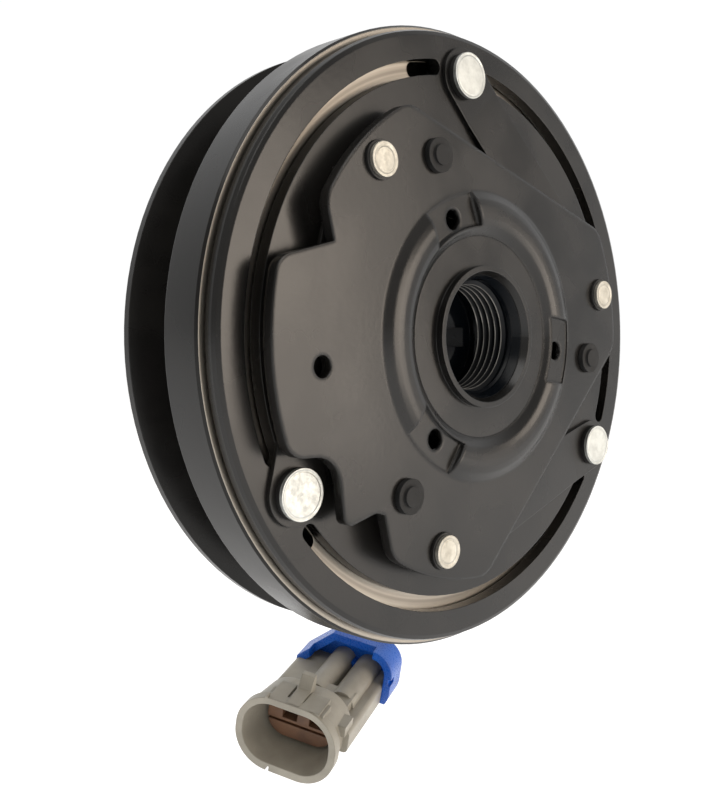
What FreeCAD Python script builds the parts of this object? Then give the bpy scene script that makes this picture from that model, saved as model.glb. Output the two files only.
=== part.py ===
import FreeCAD, Part
import math
import os

from FreeCAD import Vector

# Electromagnetic clutch for a belt-driven compressor, in millimetres.
# The clutch axis is Y. The compressor is on the +Y side and the drive plate faces -Y. +Z is up.
# The origin is on the axis, in the rear face of the coil's mounting plate.

# --- axial stations -------------------------------------------------------------------------
FACE_Y = -28.5            # friction face of the rotor
AIR_GAP = 0.5             # released gap between the armature and the friction face

# --- pulley: one A-section V groove ---------------------------------------------------------
LAND_R = 60.0             # outer radius of the smooth land in front of the groove
LAND_LENGTH = 8.84
FACE_CORNER = 0.45        # chamfer between the land and the friction face
REAR_RIM_R = 58.9
REAR_RIM_LENGTH = 1.5
PULLEY_LENGTH = 23.1
GROOVE_BOTTOM_R = 49.2
GROOVE_HALF_ANGLE = 17.5  # degrees
PULLEY_BORE_R = 47.0
POCKET_DEPTH = 3.0        # shallow pockets in the front face, in line with the armature slots
POCKET_SPAN = 7.0         # degrees

# --- rotor ----------------------------------------------------------------------------------
ROTOR_DISC = 5.0          # thickness of the friction disc
POLE_WALL_IN_R = 43.6
POLE_LENGTH = 24.4
BEARING_WALL_R = 30.6
BEARING_LIP_R = 26.0
BEARING_WALL_LENGTH = 25.2
FLUX_SLOT_WIDTH = 2.6
FLUX_SLOT_RADII = (41.7, 33.0)
FLUX_SLOT_COUNT = 4
FLUX_SLOT_SPAN = 66.0     # degrees, between the centres of the round ends

# --- double-row ball bearing 35 x 55 x 20 -----------------------------------------------------
BEARING_BORE_R = 17.5
BEARING_OUTER_R = 27.5
BEARING_WIDTH = 20.0
BEARING_START = 3.0       # behind the friction face
INNER_RING_R = 20.7
OUTER_RING_R = 24.3
BALL_R = 3.1
BALL_PITCH_R = 22.5
BALL_COUNT = 16
RACE_R = 3.24
ROW_OFFSET = 4.8          # each row from the bearing's middle plane
CAGE_THICKNESS = 1.1
CAGE_POCKET_R = 3.35
SEAL_THICKNESS = 1.0
CIRCLIP_WIDTH = 1.2
CIRCLIP_GROOVE_R = 28.8

# --- field coil -------------------------------------------------------------------------------
COIL_FRONT = 5.8          # behind the friction face
COIL_IN_R = 31.2
COIL_OUT_R = 43.0
SHELL_WALL = 1.5
SHELL_FLOOR = 1.8
BOBBIN_WALL = 1.0
POTTING_DEPTH = 2.0
PLATE_THICKNESS = 2.5
PLATE_BORE_R = 20.5
PLATE_R = 51.5
SCREW_PCD = 96.0
SCREW_HOLE_R = 2.75
SCREW_ANGLES = (60.0, 180.0, 300.0)
PIN_R = 2.0
PIN_HEAD_R = 2.5
PIN_LENGTH = 3.5
PIN_PLACE = (37.0, 125.0) # radius, angle
EXIT_PLACE = (37.0, -38.0)
BOOT_BASE_R = 4.6
BOOT_TIP_R = 2.5
BOOT_LENGTH = 14.0

# --- hub ----------------------------------------------------------------------------------------
RIM_FRONT = 9.5           # all hub stations are in front of the friction face
RIM_R = 13.65
MOUTH_R = 12.6
FLANGE_R = 19.4
FLANGE_FRONT = 8.0
FLANGE_BACK = 5.2
TAIL_R = 12.7
TAIL_END = -12.0
THREAD_R = 11.0           # root radius of the M22 x 1.5 puller thread
THREAD_FRONT = 6.25
THREAD_BACK = -3.4
RELIEF_R = 11.4
RELIEF_BACK = -5.0
SHAFT_R = 7.0
KEY_WIDTH = 4.0
KEY_DEPTH = 2.2

# --- hub plate ----------------------------------------------------------------------------------
PLATE_FRONT = 8.35
PLATE_SHEET = 2.3
LOBE_R = 46.3
EDGE_DISTANCE = 33.8      # from the axis to each straight side
LOBE_CORNER = 5.0
BEAD_OUT_R = 27.9
BEAD_CREST = 9.7
BEAD_SHAPE = [            # height in front of the friction face, radius
    (8.75, 27.2),
    (9.35, 26.2),
    (9.64, 25.0),
    (9.7, 23.8),
    (9.6, 22.5),
    (9.25, 21.3),
    (8.6, 20.4),
]
BEAD_PAD_WIDTH = 13.4     # flat pad pressed into the bead around each of its holes
BEAD_PAD_R = (21.2, 27.6)
BEAD_HOLE = (23.56, 1.95)
BEAD_HOLE_ANGLE = 113.1
TAB_R = 51.8
TAB_CORNER = 3.8
TAB_HOLE = (41.8, 1.9)
TAB_HOLE_ANGLE = 187.0
NOTCH_R = 5.6             # round the nearest armature rivet

# --- armature -----------------------------------------------------------------------------------
ARMATURE_R = 58.7
ARMATURE_IN_R = 27.5
ARMATURE_THICKNESS = 2.6
ARMATURE_CORNER = 1.1
SLOT_R = 51.7
SLOT_WIDTH = 3.0
SLOT_CLEAR = 8.6          # degrees from a rivet to the centre of a slot's round end

# --- springs, rivets and stops --------------------------------------------------------------------
LEAF = 0.8
LEAF_FLAT = 7.5           # flat length at each rivet
LEAF_BIG_R = 5.6
LEAF_SMALL_R = 6.4
LEAF_SMALL_SHIFT = 1.2
LEAF_LIMIT_R = 45.5
BIG_RIVET = (50.48, 91.0) # radius, first angle
BIG_HEAD_R = 4.4
BIG_HEAD = 1.65
BIG_SHANK_R = 2.6
SMALL_RIVET = (41.34, 133.3)
SMALL_HEAD_R = 3.05
SMALL_HEAD = 1.35
SMALL_BASE = (3.5, 0.55)
SMALL_SHANK_R = 2.0
SMALL_TAIL_R = 3.0
SMALL_TAIL = 0.9
STOP = (35.63, 112.8)
STOP_BUTTON = ((3.2, 1.05), (1.9, 0.5))
STOP_SHANK_R = 2.2
STOP_PAD_R = 4.5
STOP_GAP = 0.12
THIRDS = (0.0, -120.0, -240.0)

# --- connector and lead ----------------------------------------------------------------------------
MOUTH = Vector(-12.005, 9.388, -87.846)
AIM = Vector(-0.898, -0.399, -0.184)     # the way the mouth points
ACROSS = Vector(0.4331, -0.875, -0.2163) # along the mouth's width
# Sections are width, height, corner radius, x and y of the middle.
LIP = (24.0, 18.0, 8.4, 0.0, 0.0)
LIP_LENGTH = 2.4
SHROUD_FRONT = (22.8, 16.7, 7.8, 0.0, 0.25)
SHROUD_BACK = (21.2, 15.0, 7.0, 0.4, 0.5)
SHROUD_LENGTH = 11.0
CAVITY_FRONT = (20.8, 14.6, 6.6, 0.0, 0.15)
CAVITY_BACK = (18.0, 12.4, 5.8, 0.4, 0.5)
CAVITY_DEPTH = 10.0
SLAB = (22.8, 5.5, 1.1, 1.2, 0.3)
SLAB_START = 6.0
KEEL = (15.0, 5.0, 2.2, 1.2, -3.2)
BODY_LENGTH = 32.0
TUBES = (0.3, 6.9)                       # x of each terminal tube
TUBE_Y = 3.2
TUBE_R = 3.05
TUBE_START = 14.0
BLADE = (2.8, 0.8)
BLADE_X = (-2.4, 4.2)
BLADE_SPAN = (9.0, 24.0)
BLADE_POCKET = (3.6, 2.8)
FACE_SEAL = (16.4, 10.6, 4.6, 0.4, 0.6)
FACE_SEAL_THICKNESS = 2.6
LOCK = (24.6, 15.4, 5.6, 2.2, 3.2)
LOCK_SHOULDER = [(-12.0, 1.5), (-12.0, 13.0), (-0.3, 13.0)]
LOCK_WALL = 1.9
LOCK_SPAN = (26.2, 33.6)
WIRE_BOOT = (4.6, 2.6, 40.0)             # base radius, tip radius, rear station
WIRE_BOOT_PLACE = (1.6, 1.0)
LEAD_R = 2.2
RUN_SHARE = 0.45

# The lead's route, from the boot's tip to the connector's boot.
LEAD_ROUTE = [
    (29.2, 14.0, -22.8),
    (29.2, 32.0, -23.3),
    (38.0, 46.5, -33.5),
    (49.0, 51.0, -50.0),
    (51.5, 44.0, -68.0),
    (39.99, 30.54, -76.72),
    (24.54, 23.68, -79.88),
]


def ahead(distance):
    """Y of the plane this far in front of the friction face; negative is behind it."""
    return FACE_Y - distance


def polar(radius, angle, y=0.0):
    """Point at a radius and angle about the axis; the angle runs from +X towards +Z."""
    a = math.radians(angle)
    return Vector(radius * math.cos(a), y, radius * math.sin(a))


def turned(points):
    """Solid turned about the Y axis from a closed outline of (y, radius) points."""
    corners = [Vector(r, y, 0) for y, r in points]
    wire = Part.makePolygon(corners + corners[:1])
    return Part.Face(wire).revolve(Vector(0, 0, 0), Vector(0, 1, 0), 360)


def ring(inner, outer, y0, y1):
    return turned([(y0, inner), (y1, inner), (y1, outer), (y0, outer)])


def post(place, radius, y0, y1):
    """Round bar along Y at a point, between two stations."""
    low, high = min(y0, y1), max(y0, y1)
    return Part.makeCylinder(radius, high - low, Vector(place.x, low, place.z), Vector(0, 1, 0))


def cone(place, r0, r1, y0, y1):
    return Part.makeCone(r0, r1, y1 - y0, Vector(place.x, y0, place.z), Vector(0, 1, 0))


def torus_groove(pitch, radius, y):
    return Part.makeTorus(pitch, radius, Vector(0, y, 0), Vector(0, 1, 0))


def arc_slot(radius, width, start, end, y0, y1):
    """Round-ended slot along a circle, from one end's centre to the other's."""
    inner, outer = radius - width / 2, radius + width / 2
    middle = (start + end) / 2
    beyond = math.degrees(width / 2 / radius)
    sides = [
        Part.Arc(polar(outer, start, y0), polar(outer, middle, y0), polar(outer, end, y0)),
        Part.Arc(polar(outer, end, y0), polar(radius, end + beyond, y0), polar(inner, end, y0)),
        Part.Arc(polar(inner, end, y0), polar(inner, middle, y0), polar(inner, start, y0)),
        Part.Arc(polar(inner, start, y0), polar(radius, start - beyond, y0), polar(outer, start, y0)),
    ]
    face = Part.Face(Part.Wire([s.toShape() for s in sides]))
    return face.extrude(Vector(0, y1 - y0, 0))


def rounded(points, y0, y1):
    """Prism along Y whose outline turns each (x, z, corner radius) point with an arc."""
    edges = []
    ends = []
    count = len(points)
    for i, (x, z, radius) in enumerate(points):
        here = Vector(x, y0, z)
        back = Vector(points[i - 1][0], y0, points[i - 1][1]) - here
        onward = Vector(points[(i + 1) % count][0], y0, points[(i + 1) % count][1]) - here
        back.normalize()
        onward.normalize()
        half = back.getAngle(onward) / 2
        reach = radius / math.tan(half)
        bisector = back + onward
        bisector.normalize()
        centre = here + bisector * (radius / math.sin(half))
        ends.append((here + back * reach, centre - bisector * radius, here + onward * reach))
    for i, (start, middle, end) in enumerate(ends):
        edges.append(Part.Arc(start, middle, end).toShape())
        edges.append(Part.LineSegment(end, ends[(i + 1) % count][0]).toShape())
    return Part.Face(Part.Wire(edges)).extrude(Vector(0, y1 - y0, 0))


def groups(solids):
    return Part.makeCompound(solids)


def fused(first, *others):
    return first.fuse(list(others)).removeSplitter()


# --- rotating pulley and rotor ------------------------------------------------------------------

def groove_half_widths():
    """Stations of the groove's walls at its bottom, behind the friction face."""
    slope = math.tan(math.radians(GROOVE_HALF_ANGLE))
    front = LAND_LENGTH + (LAND_R - GROOVE_BOTTOM_R) * slope
    rear = PULLEY_LENGTH - REAR_RIM_LENGTH - (REAR_RIM_R - GROOVE_BOTTOM_R) * slope
    return front, rear


def pulley_front_half():
    front, rear = groove_half_widths()
    middle = (front + rear) / 2
    half = turned([
        (ahead(0), PULLEY_BORE_R),
        (ahead(0), LAND_R - FACE_CORNER),
        (ahead(-FACE_CORNER), LAND_R),
        (ahead(-LAND_LENGTH), LAND_R),
        (ahead(-front), GROOVE_BOTTOM_R),
        (ahead(-middle), GROOVE_BOTTOM_R),
        (ahead(-middle), PULLEY_BORE_R),
    ])
    pockets = [
        arc_slot(SLOT_R, SLOT_WIDTH, start, start + POCKET_SPAN, ahead(1), ahead(-POCKET_DEPTH))
        for start in (BIG_RIVET[1] + turn + 5.0 for turn in THIRDS)
    ]
    return half.cut(pockets)


def pulley_rear_half():
    front, rear = groove_half_widths()
    middle = (front + rear) / 2
    return turned([
        (ahead(-middle), PULLEY_BORE_R),
        (ahead(-middle), GROOVE_BOTTOM_R),
        (ahead(-rear), GROOVE_BOTTOM_R),
        (ahead(REAR_RIM_LENGTH - PULLEY_LENGTH), REAR_RIM_R),
        (ahead(-PULLEY_LENGTH), REAR_RIM_R),
        (ahead(-PULLEY_LENGTH), PULLEY_BORE_R),
    ])


def rotor():
    bearing_end = BEARING_START + BEARING_WIDTH
    body = turned([
        (ahead(0), BEARING_LIP_R),
        (ahead(0), PULLEY_BORE_R),
        (ahead(-POLE_LENGTH), PULLEY_BORE_R),
        (ahead(-POLE_LENGTH), POLE_WALL_IN_R),
        (ahead(-ROTOR_DISC), POLE_WALL_IN_R),
        (ahead(-ROTOR_DISC), BEARING_WALL_R),
        (ahead(-BEARING_WALL_LENGTH), BEARING_WALL_R),
        (ahead(-BEARING_WALL_LENGTH), BEARING_OUTER_R),
        (ahead(-bearing_end - CIRCLIP_WIDTH), BEARING_OUTER_R),
        (ahead(-bearing_end - CIRCLIP_WIDTH), CIRCLIP_GROOVE_R),
        (ahead(-bearing_end), CIRCLIP_GROOVE_R),
        (ahead(-bearing_end), BEARING_OUTER_R),
        (ahead(-BEARING_START), BEARING_OUTER_R),
        (ahead(-BEARING_START), BEARING_LIP_R),
    ])
    pitch = 360.0 / FLUX_SLOT_COUNT
    slots = [
        arc_slot(radius, FLUX_SLOT_WIDTH, pitch * i, pitch * i + FLUX_SLOT_SPAN,
                 ahead(1), ahead(-ROTOR_DISC - 1))
        for radius in FLUX_SLOT_RADII
        for i in range(FLUX_SLOT_COUNT)
    ]
    return body.cut(slots)


# --- bearing ------------------------------------------------------------------------------------

def bearing_rows():
    middle = BEARING_START + BEARING_WIDTH / 2
    return [ahead(-middle + offset) for offset in (-ROW_OFFSET, ROW_OFFSET)]


def bearing_ring(inner, outer):
    whole = ring(inner, outer, ahead(-BEARING_START), ahead(-BEARING_START - BEARING_WIDTH))
    return whole.cut([torus_groove(BALL_PITCH_R, RACE_R, y) for y in bearing_rows()])


def ball_centres():
    step = 360.0 / BALL_COUNT
    rows = enumerate(bearing_rows())
    return [polar(BALL_PITCH_R, step * (i + 0.5 * row), y) for row, y in rows for i in range(BALL_COUNT)]


def bearing_balls():
    return groups([Part.makeSphere(BALL_R, centre) for centre in ball_centres()])


def bearing_cage():
    inner = BALL_PITCH_R - CAGE_THICKNESS / 2
    start = BEARING_START + 2.2
    end = BEARING_START + BEARING_WIDTH - 2.2
    band = ring(inner, inner + CAGE_THICKNESS, ahead(-start), ahead(-end))
    pockets = []
    for centre in ball_centres():
        outward = Vector(centre.x, 0, centre.z).normalize()
        pocket = Part.makeCylinder(CAGE_POCKET_R, 2 * BALL_R, centre - outward * BALL_R, outward)
        pockets.append(pocket)
    return band.cut(pockets)


def bearing_seal(start):
    return ring(INNER_RING_R + 0.25, OUTER_RING_R, ahead(-start), ahead(-start - SEAL_THICKNESS))


def bearing_circlip():
    start = BEARING_START + BEARING_WIDTH
    full = ring(BEARING_OUTER_R - 2.0, CIRCLIP_GROOVE_R, ahead(-start), ahead(-start - CIRCLIP_WIDTH))
    gap = Part.makeBox(9.0, 4.0, 8.0, Vector(-4.5, ahead(-start) - 1.0, BEARING_OUTER_R - 5.0))
    return full.cut(gap)


# --- field coil ---------------------------------------------------------------------------------

SHELL_BACK = -PLATE_THICKNESS
SHELL_INNER = (COIL_IN_R + SHELL_WALL, COIL_OUT_R - SHELL_WALL)


def exit_point(y):
    return polar(EXIT_PLACE[0], EXIT_PLACE[1], y)


def coil_shell():
    front = ahead(-COIL_FRONT)
    inner, outer = SHELL_INNER
    cup = turned([
        (front, COIL_IN_R),
        (SHELL_BACK, COIL_IN_R),
        (SHELL_BACK, COIL_OUT_R),
        (front, COIL_OUT_R),
        (front, outer),
        (SHELL_BACK - SHELL_FLOOR, outer),
        (SHELL_BACK - SHELL_FLOOR, inner),
        (front, inner),
    ])
    return cup.cut(post(exit_point(0), BOOT_BASE_R, SHELL_BACK - SHELL_FLOOR - 1, 1))


def bobbin_stations():
    """Front and rear ends of the bobbin."""
    return ahead(-COIL_FRONT) + 0.4 + POTTING_DEPTH, SHELL_BACK - SHELL_FLOOR


def coil_bobbin():
    front, rear = bobbin_stations()
    inner, outer = SHELL_INNER
    return turned([
        (front, inner),
        (rear, inner),
        (rear, outer),
        (rear - BOBBIN_WALL, outer),
        (rear - BOBBIN_WALL, inner + BOBBIN_WALL),
        (front + BOBBIN_WALL, inner + BOBBIN_WALL),
        (front + BOBBIN_WALL, outer),
        (front, outer),
    ])


def coil_winding():
    front, rear = bobbin_stations()
    inner, outer = SHELL_INNER
    return ring(inner + BOBBIN_WALL, outer - 0.3, front + BOBBIN_WALL, rear - BOBBIN_WALL)


def coil_potting():
    front, rear = bobbin_stations()
    inner, outer = SHELL_INNER
    return ring(inner, outer, front - POTTING_DEPTH, front)


def coil_plate():
    plate = ring(PLATE_BORE_R, PLATE_R, -PLATE_THICKNESS, 0)
    cuts = [post(exit_point(0), BOOT_BASE_R, -PLATE_THICKNESS - 1, 1)]
    cuts.append(post(polar(*PIN_PLACE), PIN_HEAD_R, -PLATE_THICKNESS - 1, 1))
    for angle in SCREW_ANGLES:
        place = polar(SCREW_PCD / 2, angle)
        cuts.append(post(place, SCREW_HOLE_R, -PLATE_THICKNESS - 1, 1))
    return plate.cut(cuts)


def coil_locating_pin():
    place = polar(*PIN_PLACE)
    nose = 0.5
    head = post(place, PIN_HEAD_R, -PLATE_THICKNESS, 0)
    body = post(place, PIN_R, 0, PIN_LENGTH)
    return fused(head, body, cone(place, PIN_R, PIN_R - nose, PIN_LENGTH, PIN_LENGTH + nose))


def lead_strain_relief():
    base = post(exit_point(0), BOOT_BASE_R, SHELL_BACK - SHELL_FLOOR, 1.5)
    return fused(base, cone(exit_point(0), BOOT_BASE_R - 0.7, BOOT_TIP_R, 1.5, BOOT_LENGTH))


# --- hub and its plate --------------------------------------------------------------------------

def mouth_radius(station):
    """Radius of the cone that leads into the puller thread."""
    slope = (MOUTH_R - THREAD_R) / (RIM_FRONT - THREAD_FRONT)
    return THREAD_R + slope * (station - THREAD_FRONT)


def hub():
    """Keyed sleeve with the puller thread in its front."""
    body = turned([
        (ahead(FLANGE_FRONT), mouth_radius(FLANGE_FRONT)),
        (ahead(FLANGE_FRONT), TAIL_R),
        (ahead(TAIL_END), TAIL_R),
        (ahead(TAIL_END), SHAFT_R),
        (ahead(RELIEF_BACK), SHAFT_R),
        (ahead(RELIEF_BACK), RELIEF_R),
        (ahead(THREAD_BACK), RELIEF_R),
        (ahead(THREAD_BACK), THREAD_R),
        (ahead(THREAD_FRONT), THREAD_R),
    ])
    length = RELIEF_BACK - TAIL_END
    corner = Vector(0, ahead(RELIEF_BACK) - 0.5, -KEY_WIDTH / 2)
    keyway = Part.makeBox(SHAFT_R + KEY_DEPTH, length + 1, KEY_WIDTH, corner)
    return body.cut(keyway)


def hub_flange():
    """Flange pressed on the sleeve, with the raised rim round the mouth."""
    return turned([
        (ahead(RIM_FRONT), MOUTH_R),
        (ahead(RIM_FRONT), RIM_R),
        (ahead(FLANGE_FRONT), RIM_R),
        (ahead(FLANGE_FRONT), FLANGE_R),
        (ahead(FLANGE_BACK), FLANGE_R),
        (ahead(FLANGE_BACK), TAIL_R),
        (ahead(FLANGE_FRONT), TAIL_R),
        (ahead(FLANGE_FRONT), mouth_radius(FLANGE_FRONT)),
    ])


def hub_plate_flat():
    """The plate's lobes and tab as one flat sheet."""
    y0, y1 = ahead(PLATE_FRONT), ahead(PLATE_FRONT - PLATE_SHEET)
    vertices = []
    corner_r = EDGE_DISTANCE / math.cos(math.radians(60))
    for turn in THIRDS:
        vertex = polar(corner_r, SMALL_RIVET[1] + 0.8 + turn)
        vertices.append(Vector(vertex.x, y0, vertex.z))
    triangle = Part.Face(Part.makePolygon(vertices + vertices[:1])).extrude(Vector(0, y1 - y0, 0))
    lobes = triangle.common(post(Vector(0, 0, 0), LOBE_R, y0, y1))
    tab = rounded([
        (-28.0, 17.8, 0.5),
        (-38.7, 15.5, 1.0),
        (-60.0, 9.6, 1.0),
        (-60.0, -19.2, 1.0),
        (-37.8, -19.9, NOTCH_R),
        (-36.4, -32.2, 1.6),
        (-29.3, -30.4, 1.2),
        (-24.0, -32.0, 0.5),
    ], y0, y1).common(post(Vector(0, 0, 0), TAB_R, y0, y1))
    return fused(lobes, tab)


def soften_outline(sheet):
    """Rounds the plate's outline where a lobe's or the tab's arc meets a straight side."""
    for radius, corner in ((LOBE_R, LOBE_CORNER), (TAB_R, TAB_CORNER)):
        picked = []
        for edge in sheet.Edges:
            tips = [v.Point for v in edge.Vertexes]
            along = len(tips) == 2 and math.hypot(tips[0].x - tips[1].x, tips[0].z - tips[1].z) < 1e-6
            if along and abs(math.hypot(tips[0].x, tips[0].z) - radius) < 0.05:
                picked.append(edge)
        sheet = sheet.makeFillet(corner, picked)
    return sheet


def bead_profile():
    """Section of the pressed bead, front side outwards and then back along the inner side."""
    seat = FLANGE_FRONT
    front = [(ahead(PLATE_FRONT), BEAD_OUT_R)]
    front += [(ahead(height), radius) for height, radius in BEAD_SHAPE]
    front += [(ahead(seat), FLANGE_R + 0.3), (ahead(seat), FLANGE_R)]
    back = [(ahead(seat - PLATE_SHEET), FLANGE_R), (ahead(seat - PLATE_SHEET), FLANGE_R + 1.2)]
    for height, radius in reversed(BEAD_SHAPE[1:-2]):
        back.append((ahead(height - PLATE_SHEET), radius))
    back += [
        (ahead(PLATE_FRONT - PLATE_SHEET), BEAD_OUT_R - 0.6),
        (ahead(PLATE_FRONT - PLATE_SHEET), BEAD_OUT_R),
    ]
    return front + back


def bead_pad(angle):
    """The space above one flat pad, which the bead is cut down to."""
    inner, outer = BEAD_PAD_R
    start = ahead(BEAD_CREST + 1)
    pad = Part.makeBox(outer - inner + 2, ahead(PLATE_FRONT - 0.1) - start, BEAD_PAD_WIDTH)
    pad.translate(Vector(inner - 1, start, -BEAD_PAD_WIDTH / 2))
    pad = pad.common(ring(inner, outer, start, ahead(PLATE_FRONT - 0.1)))
    pad.rotate(Vector(0, 0, 0), Vector(0, 1, 0), -angle)
    return pad


def hub_plate():
    sheet = soften_outline(hub_plate_flat())
    span = (ahead(PLATE_FRONT + 1), ahead(PLATE_FRONT - PLATE_SHEET - 1))
    sheet = sheet.cut(post(Vector(0, 0, 0), BEAD_OUT_R, *span))
    plate = fused(sheet, turned(bead_profile()))
    through = (ahead(BEAD_CREST + 1), ahead(FLANGE_BACK - 1))
    holes = [post(polar(TAB_HOLE[0], TAB_HOLE_ANGLE), TAB_HOLE[1], *through)]
    for turn in THIRDS:
        holes.append(bead_pad(BEAD_HOLE_ANGLE + turn))
        holes.append(post(polar(BEAD_HOLE[0], BEAD_HOLE_ANGLE + turn), BEAD_HOLE[1], *through))
        holes.append(post(polar(SMALL_RIVET[0], SMALL_RIVET[1] + turn), SMALL_SHANK_R, *through))
        holes.append(post(polar(STOP[0], STOP[1] + turn), STOP_SHANK_R, *through))
    return plate.cut(holes)


# --- armature, springs, rivets and stops ------------------------------------------------------------

ARMATURE_BACK = AIR_GAP
ARMATURE_FRONT = AIR_GAP + ARMATURE_THICKNESS
LEAF_TOP = ARMATURE_FRONT + LEAF
PLATE_BACK = PLATE_FRONT - PLATE_SHEET


def armature_plate():
    corner = ARMATURE_CORNER
    plate = turned([
        (ahead(ARMATURE_BACK), ARMATURE_IN_R),
        (ahead(ARMATURE_BACK), ARMATURE_R),
        (ahead(ARMATURE_FRONT - corner), ARMATURE_R),
        (ahead(ARMATURE_FRONT - corner * 0.3), ARMATURE_R - corner * 0.3),
        (ahead(ARMATURE_FRONT), ARMATURE_R - corner),
        (ahead(ARMATURE_FRONT), ARMATURE_IN_R),
    ])
    span = (ahead(ARMATURE_FRONT + 1), ahead(ARMATURE_BACK - 1))
    cuts = []
    for turn in THIRDS:
        rivet = BIG_RIVET[1] + turn
        cuts.append(arc_slot(SLOT_R, SLOT_WIDTH, rivet - 120 + SLOT_CLEAR, rivet - SLOT_CLEAR, *span))
        cuts.append(post(polar(BIG_RIVET[0], rivet), BIG_SHANK_R, *span))
    return plate.cut(cuts)


def leaf_spring(turn):
    """Leaf from an armature rivet to a hub rivet, stepping up from one plate to the other."""
    big = polar(BIG_RIVET[0], BIG_RIVET[1])
    small = polar(SMALL_RIVET[0], SMALL_RIVET[1] - 120)
    along = small - big
    length = along.Length
    along.normalize()
    outward = Vector(-along.z, 0, along.x)
    if outward.dot(big) < 0:
        outward = outward * -1
    tail = small + outward * LEAF_SMALL_SHIFT
    lean = math.asin((LEAF_SMALL_R - LEAF_BIG_R) / length)
    side_points = []
    for sign in (1, -1):
        side = outward * sign * math.cos(lean) - along * math.sin(lean)
        side_points.append((big + side * LEAF_BIG_R, tail + side * LEAF_SMALL_R))
    (big_out, tail_out), (big_in, tail_in) = side_points
    y0, y1 = ahead(PLATE_FRONT), ahead(AIR_GAP)
    lift = Vector(0, y0, 0)
    edges = [
        Part.LineSegment(big_out + lift, tail_out + lift),
        Part.Arc(tail_out + lift, tail + along * LEAF_SMALL_R + lift, tail_in + lift),
        Part.LineSegment(tail_in + lift, big_in + lift),
        Part.Arc(big_in + lift, big - along * LEAF_BIG_R + lift, big_out + lift),
    ]
    outline = Part.Face(Part.Wire([e.toShape() for e in edges])).extrude(Vector(0, y1 - y0, 0))
    side_view = [
        (-LEAF_FLAT, ARMATURE_FRONT),
        (LEAF_FLAT, ARMATURE_FRONT),
        (length - LEAF_FLAT, PLATE_BACK - LEAF),
        (length + LEAF_FLAT, PLATE_BACK - LEAF),
        (length + LEAF_FLAT, PLATE_BACK),
        (length - LEAF_FLAT, PLATE_BACK),
        (LEAF_FLAT, LEAF_TOP),
        (-LEAF_FLAT, LEAF_TOP),
    ]
    half = 20.0
    corners = [big + along * u - outward * half + Vector(0, ahead(h), 0) for u, h in side_view]
    strip = Part.Face(Part.makePolygon(corners + corners[:1])).extrude(outward * 2 * half)
    leaf = strip.common(outline).common(post(Vector(0, 0, 0), LEAF_LIMIT_R + 20, y0, y1))
    limit = post(Vector(0, 0, 0), LEAF_LIMIT_R, y0, y1)
    corner_cut = post(tail, LEAF_SMALL_R + 1, y0, y1).cut(limit)
    leaf = leaf.cut(corner_cut)
    leaf = leaf.cut([post(big, BIG_SHANK_R + 0.15, y0, y1), post(small, SMALL_SHANK_R, y0, y1)])
    leaf.rotate(Vector(0, 0, 0), Vector(0, 1, 0), -turn)
    return leaf


def armature_rivets():
    rivets = []
    for turn in THIRDS:
        place = polar(BIG_RIVET[0], BIG_RIVET[1] + turn)
        head = post(place, BIG_HEAD_R, ahead(LEAF_TOP), ahead(LEAF_TOP + BIG_HEAD))
        shank = post(place, BIG_SHANK_R, ahead(ARMATURE_BACK + 0.3), ahead(LEAF_TOP))
        rivets.append(fused(head, shank))
    return groups(rivets)


def hub_rivets():
    rivets = []
    for turn in THIRDS:
        place = polar(SMALL_RIVET[0], SMALL_RIVET[1] + turn)
        leaf_under = PLATE_BACK - LEAF
        head = post(place, SMALL_HEAD_R, ahead(PLATE_FRONT), ahead(PLATE_FRONT + SMALL_HEAD))
        base = post(place, SMALL_BASE[0], ahead(PLATE_FRONT), ahead(PLATE_FRONT + SMALL_BASE[1]))
        shank = post(place, SMALL_SHANK_R, ahead(leaf_under), ahead(PLATE_FRONT))
        tail = post(place, SMALL_TAIL_R, ahead(leaf_under), ahead(leaf_under - SMALL_TAIL))
        rivets.append(fused(head, base, shank, tail))
    return groups(rivets)


def rubber_stops():
    stops = []
    for turn in THIRDS:
        place = polar(STOP[0], STOP[1] + turn)
        pieces = [post(place, STOP_PAD_R, ahead(ARMATURE_FRONT + STOP_GAP), ahead(PLATE_BACK))]
        pieces.append(post(place, STOP_SHANK_R, ahead(PLATE_BACK), ahead(PLATE_FRONT)))
        level = PLATE_FRONT
        for radius, height in STOP_BUTTON:
            pieces.append(post(place, radius, ahead(level), ahead(level + height)))
            level += height
        stops.append(fused(pieces[0], *pieces[1:]))
    return groups(stops)


# --- connector ----------------------------------------------------------------------------------
# The connector is modelled with its mouth at the origin facing +Z, its width along X and its
# height along Y, and then turned and moved to its place.

def placed(shape):
    aim = Vector(AIM)
    aim.normalize()
    across = ACROSS - aim * ACROSS.dot(aim)
    across.normalize()
    up = aim.cross(across)
    turn = FreeCAD.Matrix(
        across.x, up.x, aim.x, MOUTH.x,
        across.y, up.y, aim.y, MOUTH.y,
        across.z, up.z, aim.z, MOUTH.z,
        0, 0, 0, 1)
    moved = shape.copy()
    moved.Placement = FreeCAD.Placement(turn)
    return moved


def block(width, height, corner, start, end, x=0.0, y=0.0):
    """Bar with rounded long edges between two stations behind the mouth."""
    low = Vector(x - width / 2, y - height / 2, -end)
    bar = Part.makeBox(width, height, end - start, low)
    edges = [e for e in bar.Edges if abs(e.tangentAt(e.FirstParameter).z) > 0.9]
    return bar.makeFillet(corner, edges)


def rod(x, y, radius, start, end):
    return Part.makeCylinder(radius, end - start, Vector(x, y, -end))


def tapered(front, back, start, end):
    """Body whose rounded section changes evenly between two stations behind the mouth."""
    faces = []
    for section, station in ((front, start), (back, end)):
        width, height, corner, x, y = section
        bar = block(width, height, corner, station, station + 1, x, y)
        faces.append(min(bar.Faces, key=lambda f, z=-station: abs(f.CenterOfMass.z - z)))
    return Part.makeLoft([face.OuterWire for face in faces], True, True)


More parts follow.
